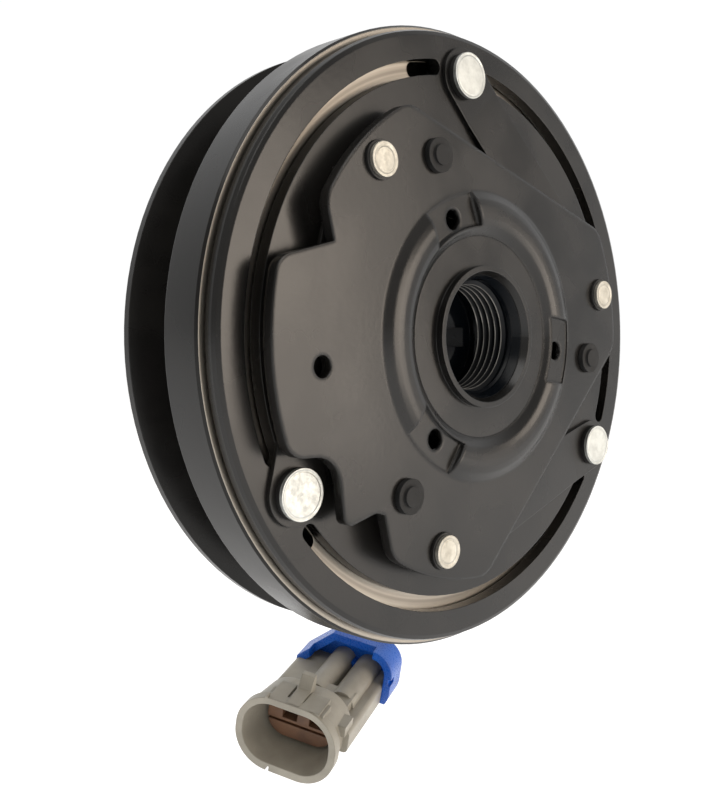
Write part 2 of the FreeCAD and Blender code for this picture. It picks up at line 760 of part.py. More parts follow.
def plain(section, start, end):
    width, height, corner, x, y = section
    return block(width, height, corner, start, end, x, y)


def box_behind(x0, x1, y0, y1, start, end):
    return Part.makeBox(x1 - x0, y1 - y0, end - start, Vector(x0, y0, -end))


def connector_ramp():
    """Latch ramp on top of the mouth."""
    outline = [(0.4, 8.0), (0.4, 9.1), (6.2, 9.4), (7.6, 12.1), (9.0, 12.1), (9.0, 8.0)]
    corners = [Vector(-0.9, y, -station) for station, y in outline]
    return Part.Face(Part.makePolygon(corners + corners[:1])).extrude(Vector(3.1, 0, 0))


def connector_body():
    """Rear body: a flat slab with a keel below and two round terminal tubes on top."""
    start = SHROUD_LENGTH - 1
    slab = plain(SLAB, SLAB_START, BODY_LENGTH)
    tubes = [rod(x, TUBE_Y, TUBE_R, TUBE_START, BODY_LENGTH) for x in TUBES]
    tunnel = box_behind(TUBES[0] - 2.6, TUBES[1] + 2.6, 0, TUBE_Y + 2.2, start, TUBE_START + 3)
    return fused(slab, plain(KEEL, start, BODY_LENGTH), tunnel, *tubes)


def connector_housing():
    lip = plain(LIP, 0, LIP_LENGTH)
    shroud = tapered(SHROUD_FRONT, SHROUD_BACK, LIP_LENGTH - 0.5, SHROUD_LENGTH)
    top_blocks = [
        box_behind(-5.2, -1.6, 5.5, 9.0, 0.6, 7.4),
        box_behind(2.4, 7.0, 5.5, 9.0, 0.3, 6.6),
        box_behind(-5.8, -5.2, 7.0, 9.3, 0, 1.4),
        box_behind(-6.0, 7.8, 6.0, 8.5, 0.8, 5.2),
        box_behind(9.2, 12.0, 2.4, 4.9, 4.5, 9.0),
    ]
    solid = fused(lip, shroud, connector_ramp(), connector_body(), *top_blocks)
    cavities = [
        tapered(CAVITY_FRONT, CAVITY_BACK, -0.01, CAVITY_DEPTH),
        box_behind(-3.7, -2.9, -10.0, -7.9, -1, LIP_LENGTH + 1),
        post_seat(),
    ]
    for x in BLADE_X:
        cavities.append(block(*BLADE, 0.1, CAVITY_DEPTH - 1, BLADE_SPAN[1], x=x, y=0.9))
    return solid.cut(cavities)


def post_seat():
    """Recess for the wire boot in the back of the body."""
    x, y = WIRE_BOOT_PLACE
    return rod(x, y, WIRE_BOOT[1] + 1.2, BODY_LENGTH - 3, BODY_LENGTH + 1)


def connector_blades():
    blades = [block(*BLADE, 0.1, *BLADE_SPAN, x=x, y=0.9) for x in BLADE_X]
    return groups(blades)


def connector_face_seal():
    seal = plain(FACE_SEAL, CAVITY_DEPTH - FACE_SEAL_THICKNESS, CAVITY_DEPTH)
    slots = [block(*BLADE_POCKET, 0.1, 0, CAVITY_DEPTH + 1, x=x, y=1.2) for x in BLADE_X]
    groove = box_behind(-12, 12, -1.5, -0.9, 0, CAVITY_DEPTH - FACE_SEAL_THICKNESS + 1)
    return seal.cut(slots + [groove])


def lock_shoulder(shift):
    """Corner that the hood's slanted upper left side leaves out."""
    corners = [Vector(x + shift, y - shift, -BODY_LENGTH - 5) for x, y in LOCK_SHOULDER]
    return Part.Face(Part.makePolygon(corners + corners[:1])).extrude(Vector(0, 0, 20))


def connector_lock():
    """Hood over the back of the body, open to the front and below."""
    start, end = LOCK_SPAN
    width, height, corner, x, y = LOCK
    outer = plain(LOCK, start, end)
    hollow = (width - 2 * LOCK_WALL, height - 2 * LOCK_WALL, corner - LOCK_WALL, x, y)
    inner = plain(hollow, start - 1, BODY_LENGTH).cut(lock_shoulder(0.7 * LOCK_WALL))
    below = box_behind(x - 8.6, x + 8.6, y - height, y - height / 2 + 3.4, start - 1, end + 1)
    bay = box_behind(x - 9.2, x + 6.8, y + 1, y + height, start - 1, start + 2.4)
    right_notch = box_behind(x + width / 2 - 0.7, x + width, 3.4, 5.0, start - 1, start + 2.2)
    lower = box_behind(x - width, x + width, y - height, -1.8, start - 1, end + 1)
    cuts = [lock_shoulder(0), inner, below, bay, right_notch, lower]
    return outer.cut(cuts + [connector_body(), connector_wire_boot()])


def connector_wire_boot():
    base, tip, rear = WIRE_BOOT
    x, y = WIRE_BOOT_PLACE
    start = BODY_LENGTH
    seat = rod(x, y, tip + 1.2, start - 3, start)
    taper = Part.makeCone(tip, base, rear - start, Vector(x, y, -rear))
    return fused(seat, taper)


# --- lead ---------------------------------------------------------------------------------------

def lead():
    """Round lead along straight runs joined by tangent arcs."""
    points = [Vector(*p) for p in LEAD_ROUTE]
    edges = []
    here = points[0]
    for before, corner, after in zip(points, points[1:], points[2:]):
        back, onward = before - corner, after - corner
        shorter = min(back.Length, onward.Length)
        back.normalize()
        onward.normalize()
        half = back.getAngle(onward) / 2
        reach = RUN_SHARE * shorter
        radius = reach * math.tan(half)
        bisector = back + onward
        bisector.normalize()
        centre = corner + bisector * (radius / math.sin(half))
        start, end = corner + back * reach, corner + onward * reach
        edges.append(Part.LineSegment(here, start).toShape())
        edges.append(Part.Arc(start, centre - bisector * radius, end).toShape())
        print("lead bend radius %.1f mm" % radius)
        here = end
    edges.append(Part.LineSegment(here, points[-1]).toShape())
    length = sum(e.Length for e in edges)
    path = Part.Wire(edges)
    section = Part.Wire(Part.makeCircle(LEAD_R, points[0], points[1] - points[0]))
    tube = path.makePipeShell([section], True, True)
    expected = math.pi * LEAD_R ** 2 * length
    print("lead length %.1f mm, volume ratio %.3f" % (length, tube.Volume / expected))
    return tube


# --- write every piece ----------------------------------------------------------------------------

PIECES = {
    "coil_shell": coil_shell,
    "coil_bobbin": coil_bobbin,
    "coil_winding": coil_winding,
    "coil_potting": coil_potting,
    "coil_plate": coil_plate,
    "coil_locating_pin": coil_locating_pin,
    "lead_strain_relief": lead_strain_relief,
    "lead": lead,
    "connector_housing": lambda: placed(connector_housing()),
    "connector_blades": lambda: placed(connector_blades()),
    "connector_face_seal": lambda: placed(connector_face_seal()),
    "connector_lock": lambda: placed(connector_lock()),
    "connector_wire_boot": lambda: placed(connector_wire_boot()),
    "bearing_inner_ring": lambda: bearing_ring(BEARING_BORE_R, INNER_RING_R),
    "bearing_balls": bearing_balls,
    "bearing_cage": bearing_cage,
    "bearing_outer_ring": lambda: bearing_ring(OUTER_RING_R, BEARING_OUTER_R),
    "bearing_front_seal": lambda: bearing_seal(BEARING_START + 0.3),
    "bearing_rear_seal": lambda: bearing_seal(BEARING_START + BEARING_WIDTH - SEAL_THICKNESS - 0.3),
    "bearing_circlip": bearing_circlip,
    "rotor": rotor,
    "pulley_front_half": pulley_front_half,
    "pulley_rear_half": pulley_rear_half,
    "hub": hub,
    "hub_flange": hub_flange,
    "hub_plate": hub_plate,
    "hub_rivets": hub_rivets,
    "rubber_stops": rubber_stops,
    "armature_plate": armature_plate,
    "armature_rivets": armature_rivets,
}
for index, turn in enumerate(THIRDS):
    PIECES["leaf_spring_%d" % (index + 1)] = lambda turn=turn: leaf_spring(turn)

os.makedirs("parts", exist_ok=True)
for node, make in PIECES.items():
    shape = make()
    shape.exportStep("parts/%s.step" % node)
    state = (node, len(shape.Solids), shape.isValid(), shape.Volume)
    print("%-22s solids %2d valid %s volume %10.1f" % state)
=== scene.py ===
"""Looks of an electromagnetic clutch for a belt-driven compressor.

The clutch axis is Y, the compressor is on the +Y side, and the hub plate faces -Y. Everything is in
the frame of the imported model, in metres unless a docstring says millimetres. The friction face's Y
is in millimetres, and the thirds of a turn are in degrees.
"""

import logging
import math
from dataclasses import dataclass, field
from enum import Enum
from typing import Optional

import bmesh
import bpy
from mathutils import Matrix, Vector


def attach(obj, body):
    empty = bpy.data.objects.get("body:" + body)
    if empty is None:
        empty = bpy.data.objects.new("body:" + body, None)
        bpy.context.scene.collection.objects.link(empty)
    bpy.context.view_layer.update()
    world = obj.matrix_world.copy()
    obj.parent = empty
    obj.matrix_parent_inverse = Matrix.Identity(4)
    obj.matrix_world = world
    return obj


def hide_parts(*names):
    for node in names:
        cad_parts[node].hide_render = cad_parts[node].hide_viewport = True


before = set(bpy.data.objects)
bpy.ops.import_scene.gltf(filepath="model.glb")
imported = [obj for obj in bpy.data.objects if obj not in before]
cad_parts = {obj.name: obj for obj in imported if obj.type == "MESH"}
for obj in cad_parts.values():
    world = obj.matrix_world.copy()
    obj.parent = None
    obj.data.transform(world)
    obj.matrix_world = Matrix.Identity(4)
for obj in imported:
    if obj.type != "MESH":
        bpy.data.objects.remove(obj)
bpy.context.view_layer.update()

log = logging.getLogger("clutch")

MM = 0.001
FRICTION_FACE_Y = -28.5
THIRDS = (0.0, -120.0, -240.0)
NOISE_RANGE = (0.3, 0.7)
NARROW_RANGE = (0.35, 0.65)
SHARE = (0.0, 1.0)
MIX_SHARE, MIX_FIRST, MIX_SECOND, MIX_RESULT = 0, 6, 7, 2

Colour = tuple[float, float, float]
Place = tuple[float, float, float]
Range = tuple[float, float]
Socket = bpy.types.NodeSocket


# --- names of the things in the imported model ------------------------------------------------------


class Body(Enum):
    """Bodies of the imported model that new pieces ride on."""

    COIL = "coil"
    HUB = "hub"


class Slot(Enum):
    """Material slots of the record that new pieces take their finish from."""

    BLACK_PAINT = "black_paint"
    LEAD_SLEEVE = "lead_sleeve"


# --- places ---------------------------------------------------------------------------------------


def ahead(distance: float) -> float:
    """Gives the Y of a plane in front of the friction face.

    Args:
        distance: How far in front, in millimetres; negative is behind it.

    Returns:
        Y in millimetres.
    """
    return FRICTION_FACE_Y - distance


def polar(radius: float, angle: float, y: float = 0.0) -> Vector:
    """Gives a point at a radius and angle about the clutch axis.

    Args:
        radius: Distance from the axis, in millimetres.
        angle: Angle from +X towards +Z, in degrees.
        y: Station along the axis, in millimetres.

    Returns:
        The point in metres.
    """
    turn = math.radians(angle)
    return Vector((radius * math.cos(turn), y, radius * math.sin(turn))) * MM


def direction(azimuth: float, elevation: float) -> Vector:
    """Gives the way from the clutch to something around it.

    Args:
        azimuth: Angle from -Y towards +X, in degrees.
        elevation: Angle above the level, in degrees.

    Returns:
        A vector of length one.
    """
    turn, tilt = math.radians(azimuth), math.radians(elevation)
    level = math.cos(tilt)
    return Vector((math.sin(turn) * level, -math.cos(turn) * level, math.sin(tilt)))


# --- shader sheets --------------------------------------------------------------------------------


class ShaderSheet:
    """Node tree of one material, with short calls for the nodes that the finishes share."""

    def __init__(self, name: str) -> None:
        """Starts an empty tree with a surface shader.

        Args:
            name: Name of the material.
        """
        self.material = bpy.data.materials.new(name)
        self.material.use_nodes = True
        self.tree = self.material.node_tree
        self.tree.nodes.clear()
        self.surface = self.tree.nodes.new("ShaderNodeBsdfPrincipled")
        output = self.tree.nodes.new("ShaderNodeOutputMaterial")
        self.tree.links.new(self.surface.outputs["BSDF"], output.inputs["Surface"])
        self.normal: Optional[Socket] = None

    def node(self, kind: str, **settings: object) -> bpy.types.Node:
        """Adds a node.

        Args:
            kind: Short node type, without its "ShaderNode" prefix.
            **settings: Properties to set on the node.

        Returns:
            The new node.
        """
        made = self.tree.nodes.new("ShaderNode" + kind)
        for key, value in settings.items():
            setattr(made, key, value)
        return made

    def feed(self, socket: Socket, value: object) -> None:
        """Links a socket or sets its value.

        Args:
            socket: Input socket.
            value: An output socket, a number, or a colour.
        """
        if isinstance(value, bpy.types.NodeSocket):
            self.tree.links.new(value, socket)
        elif isinstance(value, tuple) and len(value) == 3 and socket.type == "RGBA":
            socket.default_value = (*value, 1.0)
        else:
            socket.default_value = value

    def set(self, **values: object) -> None:
        """Sets inputs of the surface shader, named with underscores for spaces."""
        for key, value in values.items():
            self.feed(self.surface.inputs[key.replace("_", " ")], value)

    def place(self) -> Socket:
        """Point on the piece at rest, in metres."""
        return self.node("TexCoord").outputs["Object"]

    def axes(self, vector: Socket) -> tuple[Socket, Socket, Socket]:
        """X, Y and Z of a vector."""
        split = self.node("SeparateXYZ")
        self.feed(split.inputs[0], vector)
        return split.outputs[0], split.outputs[1], split.outputs[2]

    def sum(self, kind: str, first: object, second: object = 0.0, third: object = 0.0) -> Socket:
        """Arithmetic on numbers.

        Args:
            kind: Operation name, such as "MULTIPLY".
            first: First number or socket.
            second: Second number or socket.
            third: Third number or socket.

        Returns:
            The result.
        """
        made = self.node("Math", operation=kind)
        for socket, value in zip(made.inputs, (first, second, third)):
            self.feed(socket, value)
        return made.outputs[0]

    def length_of(self, first: Socket, second: Socket) -> Socket:
        """Length of a line that goes this far across and this far up."""
        squares = self.sum("MULTIPLY", first, first), self.sum("MULTIPLY", second, second)
        return self.sum("SQRT", self.sum("ADD", *squares))

    def axis_radius(self) -> Socket:
        """Distance of the point from the clutch axis, in metres."""
        x, _, z = self.axes(self.place())
        return self.length_of(x, z)

    def noise(self, scale: float, detail: float = 2.0, vector: Optional[Socket] = None) -> Socket:
        """Soft random pattern.

        Args:
            scale: Features per metre.
            detail: Number of finer layers.
            vector: Where to read it; the point on the piece if left out.

        Returns:
            A value of about 0.3 to 0.7.
        """
        made = self.node("TexNoise")
        self.feed(made.inputs["Vector"], vector or self.place())
        made.inputs["Scale"].default_value = scale
        made.inputs["Detail"].default_value = detail
        return made.outputs["Fac"]

    def ramp(self, value: Socket, low: float, high: float, start: object, end: object) -> Socket:
        """Maps a range to another one, smoothly and clamped.

        Args:
            value: Number to map.
            low: Lower end of the range.
            high: Upper end of the range.
            start: Result at the lower end.
            end: Result at the upper end.

        Returns:
            The mapped number.
        """
        made = self.node("MapRange", interpolation_type="SMOOTHSTEP")
        for key, item in zip(("Value", "From Min", "From Max", "To Min", "To Max"),
                             (value, low, high, start, end)):
            self.feed(made.inputs[key], item)
        return made.outputs["Result"]

    def vary(self, pattern: Socket, middle: float, below: float, above: float) -> Socket:
        """Makes a number follow a random pattern.

        Args:
            pattern: Random pattern, as noise() gives it.
            middle: The number that it stays around.
            below: How far it goes below the middle.
            above: How far it goes above the middle.

        Returns:
            The varied number.
        """
        return self.ramp(pattern, *NOISE_RANGE, middle - below, middle + above)

    def blend(self, share: Socket, first: object, second: object) -> Socket:
        """Mixes two colours.

        Args:
            share: Share of the second colour, from 0 to 1.
            first: First colour or socket.
            second: Second colour or socket.

        Returns:
            The mixed colour.
        """
        made = self.node("Mix", data_type="RGBA")
        self.feed(made.inputs[MIX_SHARE], share)
        self.feed(made.inputs[MIX_FIRST], first)
        self.feed(made.inputs[MIX_SECOND], second)
        return made.outputs[MIX_RESULT]

    def round_edges(self, radius: float) -> None:
        """Shades sharp edges as if they had this radius, in metres."""
        made = self.node("Bevel", samples=6)
        made.inputs["Radius"].default_value = radius
        self.normal = made.outputs["Normal"]
        self.feed(self.surface.inputs["Normal"], self.normal)

    def bump(self, height: Socket, depth: float, strength: float = 1.0) -> None:
        """Adds relief on top of what is there already.

        Args:
            height: Height pattern, 0 to 1.
            depth: What 1 stands for, in metres.
            strength: Share of the relief that shows.
        """
        made = self.node("Bump")
        made.inputs["Strength"].default_value = strength
        made.inputs["Distance"].default_value = depth
        self.feed(made.inputs["Height"], height)
        if self.normal is not None:
            self.feed(made.inputs["Normal"], self.normal)
        self.normal = made.outputs["Normal"]
        self.feed(self.surface.inputs["Normal"], self.normal)


# --- finishes -------------------------------------------------------------------------------------


@dataclass(frozen=True)
class Finish:
    """A surface finish that makes its material once."""

    name: str

    def draw(self, sheet: ShaderSheet) -> None:
        """Fills the shader sheet.

        Args:
            sheet: Sheet to fill.
        """
        raise NotImplementedError

    def material(self) -> bpy.types.Material:
        """The finish's material, made at its first use."""
        found = bpy.data.materials.get(self.name)
        if found is not None:
            return found
        sheet = ShaderSheet(self.name)
        self.draw(sheet)
        return sheet.material


@dataclass(frozen=True)
class SatinPaint(Finish):
    """Smooth black coating with a faint haze and fine dust."""

    colour: Colour = (0.0060, 0.0056, 0.0052)
    worn: Colour = (0.030, 0.027, 0.024)
    roughness: float = 0.27
    roughness_spread: Range = (0.05, 0.06)
    gloss: float = 0.42
    edge: float = 0.25 * MM
    cloud_scale: float = 55.0
    haze_range: Range = (0.35, 0.7)
    haze_share: Range = (0.0, 0.22)
    dust_scale: float = 2600.0
    dust_range: Range = (0.73, 0.80)
    dust_share: Range = (0.0, 0.5)
    fine_scale: float = 900.0
    relief: float = 0.012 * MM

    def draw(self, sheet: ShaderSheet) -> None:
        """Fills the shader sheet.

        Args:
            sheet: Sheet to fill.
        """
        sheet.round_edges(self.edge)
        cloud = sheet.noise(self.cloud_scale, detail=3.0)
        specks = sheet.noise(self.dust_scale, detail=1.0)
        dust = sheet.ramp(specks, *self.dust_range, *self.dust_share)
        haze = sheet.ramp(cloud, *self.haze_range, *self.haze_share)
        share = sheet.sum("MAXIMUM", dust, haze)
        sheet.set(Base_Color=sheet.blend(share, self.colour, self.worn))
        sheet.set(Roughness=sheet.vary(cloud, self.roughness, *self.roughness_spread))
        sheet.set(Specular_IOR_Level=self.gloss)
        sheet.bump(sheet.noise(self.fine_scale), self.relief)


@dataclass(frozen=True)
class PulleyPaint(SatinPaint):
    """The coating of the pulley and rotor, turned off to bare steel on the friction face.

    The bare depth is in millimetres behind the friction face.
    """

    gloss: float = 0.27
    bare: Colour = (0.40, 0.365, 0.315)
    bare_dark: Colour = (0.24, 0.215, 0.185)
    bare_depth: float = 0.06
    bare_roughness: Range = (0.30, 0.46)
    fine_ring_scale: float = 9000.0
    broad_ring_scale: float = 900.0
    ring_relief: float = 0.006 * MM

    def draw(self, sheet: ShaderSheet) -> None:
        """Fills the shader sheet.

        Args:
            sheet: Sheet to fill.
        """
        sheet.round_edges(self.edge)
        _, y, _ = sheet.axes(sheet.place())
        bare = sheet.sum("LESS_THAN", y, (FRICTION_FACE_Y + self.bare_depth) * MM)
        rings = sheet.node("CombineXYZ")
        sheet.feed(rings.inputs[0], sheet.axis_radius())
        fine = sheet.noise(self.fine_ring_scale, vector=rings.outputs[0])
        broad = sheet.noise(self.broad_ring_scale, vector=rings.outputs[0])
        metal = sheet.blend(sheet.ramp(broad, *NARROW_RANGE, *SHARE), self.bare_dark, self.bare)
        cloud = sheet.noise(self.cloud_scale, detail=3.0)
        haze = sheet.ramp(cloud, *self.haze_range, *self.haze_share)
        paint = sheet.blend(haze, self.colour, self.worn)
        sheet.set(Base_Color=sheet.blend(bare, paint, metal), Metallic=bare)
        sheet.set(Specular_IOR_Level=self.gloss)
        smooth = sheet.vary(cloud, self.roughness, *self.roughness_spread)
        grain = sheet.ramp(fine, *NOISE_RANGE, *self.bare_roughness)
        difference = sheet.sum("SUBTRACT", grain, smooth)
        sheet.set(Roughness=sheet.sum("MULTIPLY_ADD", difference, bare, smooth))
        sheet.bump(sheet.sum("MULTIPLY", fine, bare), self.ring_relief)


@dataclass(frozen=True)
class ThreadPaint(SatinPaint):
    """The bore's coating, rubbed bright along the thread's crests.

    The crest radius and the rubbed depth are in millimetres.
    """

    rubbed: Colour = (0.30, 0.29, 0.27)
    crest: float = 10.19
    rub_depth: float = 0.16
    patch_scale: float = 260.0
    patch_range: Range = (0.3, 0.6)
    patch_share: Range = (0.45, 1.0)
    thread_roughness: Range = (0.28, 0.42)

    def draw(self, sheet: ShaderSheet) -> None:
        """Fills the shader sheet.

        Args:
            sheet: Sheet to fill.
        """
        sheet.round_edges(self.edge)
        limit = (self.crest + self.rub_depth) * MM
        share = sheet.ramp(sheet.axis_radius(), self.crest * MM, limit, 1.0, 0.0)
        patchy = sheet.ramp(sheet.noise(self.patch_scale), *self.patch_range, *self.patch_share)
        rubbed = sheet.sum("MULTIPLY", share, patchy)
        sheet.set(Base_Color=sheet.blend(rubbed, self.colour, self.rubbed), Metallic=rubbed)
        fine = sheet.noise(self.fine_scale)
        sheet.set(Roughness=sheet.ramp(fine, *NOISE_RANGE, *self.thread_roughness))
        sheet.set(Specular_IOR_Level=self.gloss)


@dataclass(frozen=True)
class PlatedSteel(Finish):
    """Plated or ground steel with a fine grain and cloudy brightness."""

    bright: Colour = (0.72, 0.72, 0.70)
    dull: Colour = (0.46, 0.46, 0.44)
    roughness: float = 0.32
    roughness_spread: Range = (0.08, 0.1)
    cloud_scale: float = 180.0
    grain_scale: float = 1400.0
    edge: float = 0.2 * MM
    relief: float = 0.01 * MM

    def draw(self, sheet: ShaderSheet) -> None:
        """Fills the shader sheet.

        Args:
            sheet: Sheet to fill.
        """
        sheet.round_edges(self.edge)
        cloud = sheet.noise(self.cloud_scale, detail=4.0)
        grain = sheet.noise(self.grain_scale, detail=3.0)
        share = sheet.ramp(cloud, *NARROW_RANGE, *SHARE)
        sheet.set(Base_Color=sheet.blend(share, self.dull, self.bright), Metallic=1.0)
        sheet.set(Roughness=sheet.vary(grain, self.roughness, *self.roughness_spread))
        sheet.bump(grain, self.relief)


@dataclass(frozen=True)
class RivetZinc(PlatedSteel):
    """Bright plated rivet head with painted shade: the side below the top face is painted near-black,
    and a faint ring pressed round the face is painted darker.

    The stations are in front of the friction face. They, the radii and the ring's edges are in
    millimetres, and the first rivet's angle is in degrees.
    """

    top: float = 5.55
    cap: float = 0.75
    cap_edge: float = 0.12
    # Painted shade: near-black colour painted on the head's side below its top face.
    painted_side_shade: Colour = (0.007, 0.0065, 0.006)
    pitch_radius: float = 50.48
    first_angle: float = 91.0
    ring_radius: float = 2.3
    ring_inside: float = 0.05
    ring_outside: float = 0.32
    # Painted shade: tone in the middle of the pressed ring's groove, and away from it.
    groove_shade_share: Range = (0.6, 1.0)
    cloud_scale: float = 420.0
    cloud_share: Range = (0.15, 1.0)
    grain_share: float = 0.3
    relief: float = 0.06 * MM

    def nearest_axis(self, sheet: ShaderSheet) -> Socket:
        """Distance from the nearest rivet's axis, in metres.

        Args:
            sheet: Sheet that the nodes go on.

        Returns:
            The distance.
        """
        x, _, z = sheet.axes(sheet.place())
        nearest: Optional[Socket] = None
        for turn in THIRDS:
            centre = polar(self.pitch_radius, self.first_angle + turn)
            across = sheet.sum("SUBTRACT", x, centre.x)
            up = sheet.sum("SUBTRACT", z, centre.z)
            reach = sheet.length_of(across, up)
            nearest = reach if nearest is None else sheet.sum("MINIMUM", nearest, reach)
        return nearest

    def draw(self, sheet: ShaderSheet) -> None:
        """Fills the shader sheet.

        Args:
            sheet: Sheet to fill.
        """
        sheet.round_edges(self.edge)
        _, y, _ = sheet.axes(sheet.place())
        # Painted shade: below the top face's edge the head is painted near-black instead of zinc.
        shade_top_y = ahead(self.top - self.cap) * MM
        plated = ahead(self.top - self.cap + self.cap_edge) * MM
        bright = sheet.ramp(y, shade_top_y, plated, *SHARE)
        reach = self.nearest_axis(sheet)
        off = sheet.sum("ABSOLUTE", sheet.sum("SUBTRACT", reach, self.ring_radius * MM))
        groove = sheet.ramp(off, self.ring_inside * MM, self.ring_outside * MM, *SHARE)
        cloud = sheet.noise(self.cloud_scale, detail=4.0)
        cloudy = sheet.ramp(cloud, *NOISE_RANGE, *self.cloud_share)
        # Painted shade: the tone is painted darker in the pressed ring's groove; the groove's relief
        # is the bump below.
        tone = sheet.sum("MULTIPLY", cloudy, sheet.ramp(groove, *SHARE, *self.groove_shade_share))
        zinc = sheet.blend(tone, self.dull, self.bright)
        sheet.set(Base_Color=sheet.blend(bright, self.painted_side_shade, zinc), Metallic=bright)
        grain = sheet.noise(self.grain_scale, detail=3.0)
        sheet.set(Roughness=sheet.vary(grain, self.roughness, *self.roughness_spread))
        rough = sheet.sum("MULTIPLY", grain, self.grain_share)
        sheet.bump(sheet.sum("ADD", groove, rough), self.relief)


@dataclass(frozen=True)
class MouldedPlastic(Finish):
    """Moulded plastic with a fine eroded texture and slight shading of its colour."""

    colour: Colour = (0.40, 0.37, 0.30)
    shade: Colour = (0.33, 0.30, 0.24)
    roughness: float = 0.45
    roughness_spread: Range = (0.07, 0.07)
    cloud_scale: float = 140.0
    texture_scale: float = 2600.0
    edge: float = 0.35 * MM
    relief: float = 0.02 * MM

    def draw(self, sheet: ShaderSheet) -> None:
        """Fills the shader sheet.

        Args:
            sheet: Sheet to fill.
        """
        sheet.round_edges(self.edge)
        cloud = sheet.noise(self.cloud_scale, detail=3.0)
        share = sheet.ramp(cloud, *NOISE_RANGE, *SHARE)
        sheet.set(Base_Color=sheet.blend(share, self.shade, self.colour))
        texture = sheet.noise(self.texture_scale)
        sheet.set(Roughness=sheet.vary(texture, self.roughness, *self.roughness_spread))
        sheet.bump(texture, self.relief)


@dataclass(frozen=True)
class Rubber(Finish):
    """Dull black rubber with a powdery bloom."""

    colour: Colour = (0.007, 0.007, 0.007)
    bloom: Colour = (0.022, 0.021, 0.020)
    bloom_range: Range = (0.42, 0.72)
    bloom_share: Range = (0.0, 0.6)
    roughness: float = 0.6
    roughness_spread: Range = (0.08, 0.1)
    gloss: float = 0.3
    cloud_scale: float = 320.0
    texture_scale: float = 2200.0
    edge: float = 0.3 * MM
    relief: float = 0.03 * MM

    def draw(self, sheet: ShaderSheet) -> None:
        """Fills the shader sheet.

        Args:
            sheet: Sheet to fill.
        """
        sheet.round_edges(self.edge)
        cloud = sheet.noise(self.cloud_scale, detail=4.0)
        bloomed = sheet.ramp(cloud, *self.bloom_range, *self.bloom_share)
        sheet.set(Base_Color=sheet.blend(bloomed, self.colour, self.bloom))
        sheet.set(Roughness=sheet.vary(cloud, self.roughness, *self.roughness_spread))
        sheet.set(Specular_IOR_Level=self.gloss)
        sheet.bump(sheet.noise(self.texture_scale), self.relief)


@dataclass(frozen=True)
class WoundCopper(Finish):
    """Enamelled copper wire wound round the clutch axis, with painted shade between the turns."""

    colour: Colour = (0.70, 0.27, 0.10)
    # Painted shade: darker colour painted in the grooves between the turns.
    painted_gap_shade: Colour = (0.16, 0.05, 0.02)
    wire: float = 0.6 * MM
    metal: float = 0.9
    grain_scale: float = 700.0
    grain_roughness: Range = (0.25, 0.42)
    relief: float = 0.2 * MM

    def draw(self, sheet: ShaderSheet) -> None:
        """Fills the shader sheet.

        Args:
            sheet: Sheet to fill.
        """
        _, y, _ = sheet.axes(sheet.place())
        turn = 2 * math.pi / self.wire
        across = sheet.sum("SINE", sheet.sum("MULTIPLY", y, turn))
        up = sheet.sum("SINE", sheet.sum("MULTIPLY", sheet.axis_radius(), turn))
        height = sheet.ramp(sheet.sum("ADD", across, up), -2.0, 2.0, *SHARE)
        # Painted shade: the colour darkens from each wire's crest into the grooves between turns; the
        # same pattern drives the relief.
        sheet.set(Base_Color=sheet.blend(height, self.painted_gap_shade, self.colour), Metallic=self.metal)
        grain = sheet.noise(self.grain_scale)
        sheet.set(Roughness=sheet.ramp(grain, *NOISE_RANGE, *self.grain_roughness))
        sheet.bump(height, self.relief)


@dataclass(frozen=True)
class PaleFloor(Finish):
    """Plain pale floor with the faintest mottle."""

    colour: Colour = (0.95, 0.95, 0.95)
    shade: Colour = (0.93, 0.93, 0.93)
    mottle_scale: float = 3.0
    roughness: float = 0.9
    gloss: float = 0.1
    lift: float = 0.4

    def draw(self, sheet: ShaderSheet) -> None:
        """Fills the shader sheet.

        Args:
            sheet: Sheet to fill.
        """
        mottle = sheet.noise(self.mottle_scale)
        sheet.set(Base_Color=sheet.blend(mottle, self.shade, self.colour))
        sheet.set(Roughness=self.roughness, Specular_IOR_Level=self.gloss)
        sheet.set(Emission_Color=self.colour, Emission_Strength=self.lift)


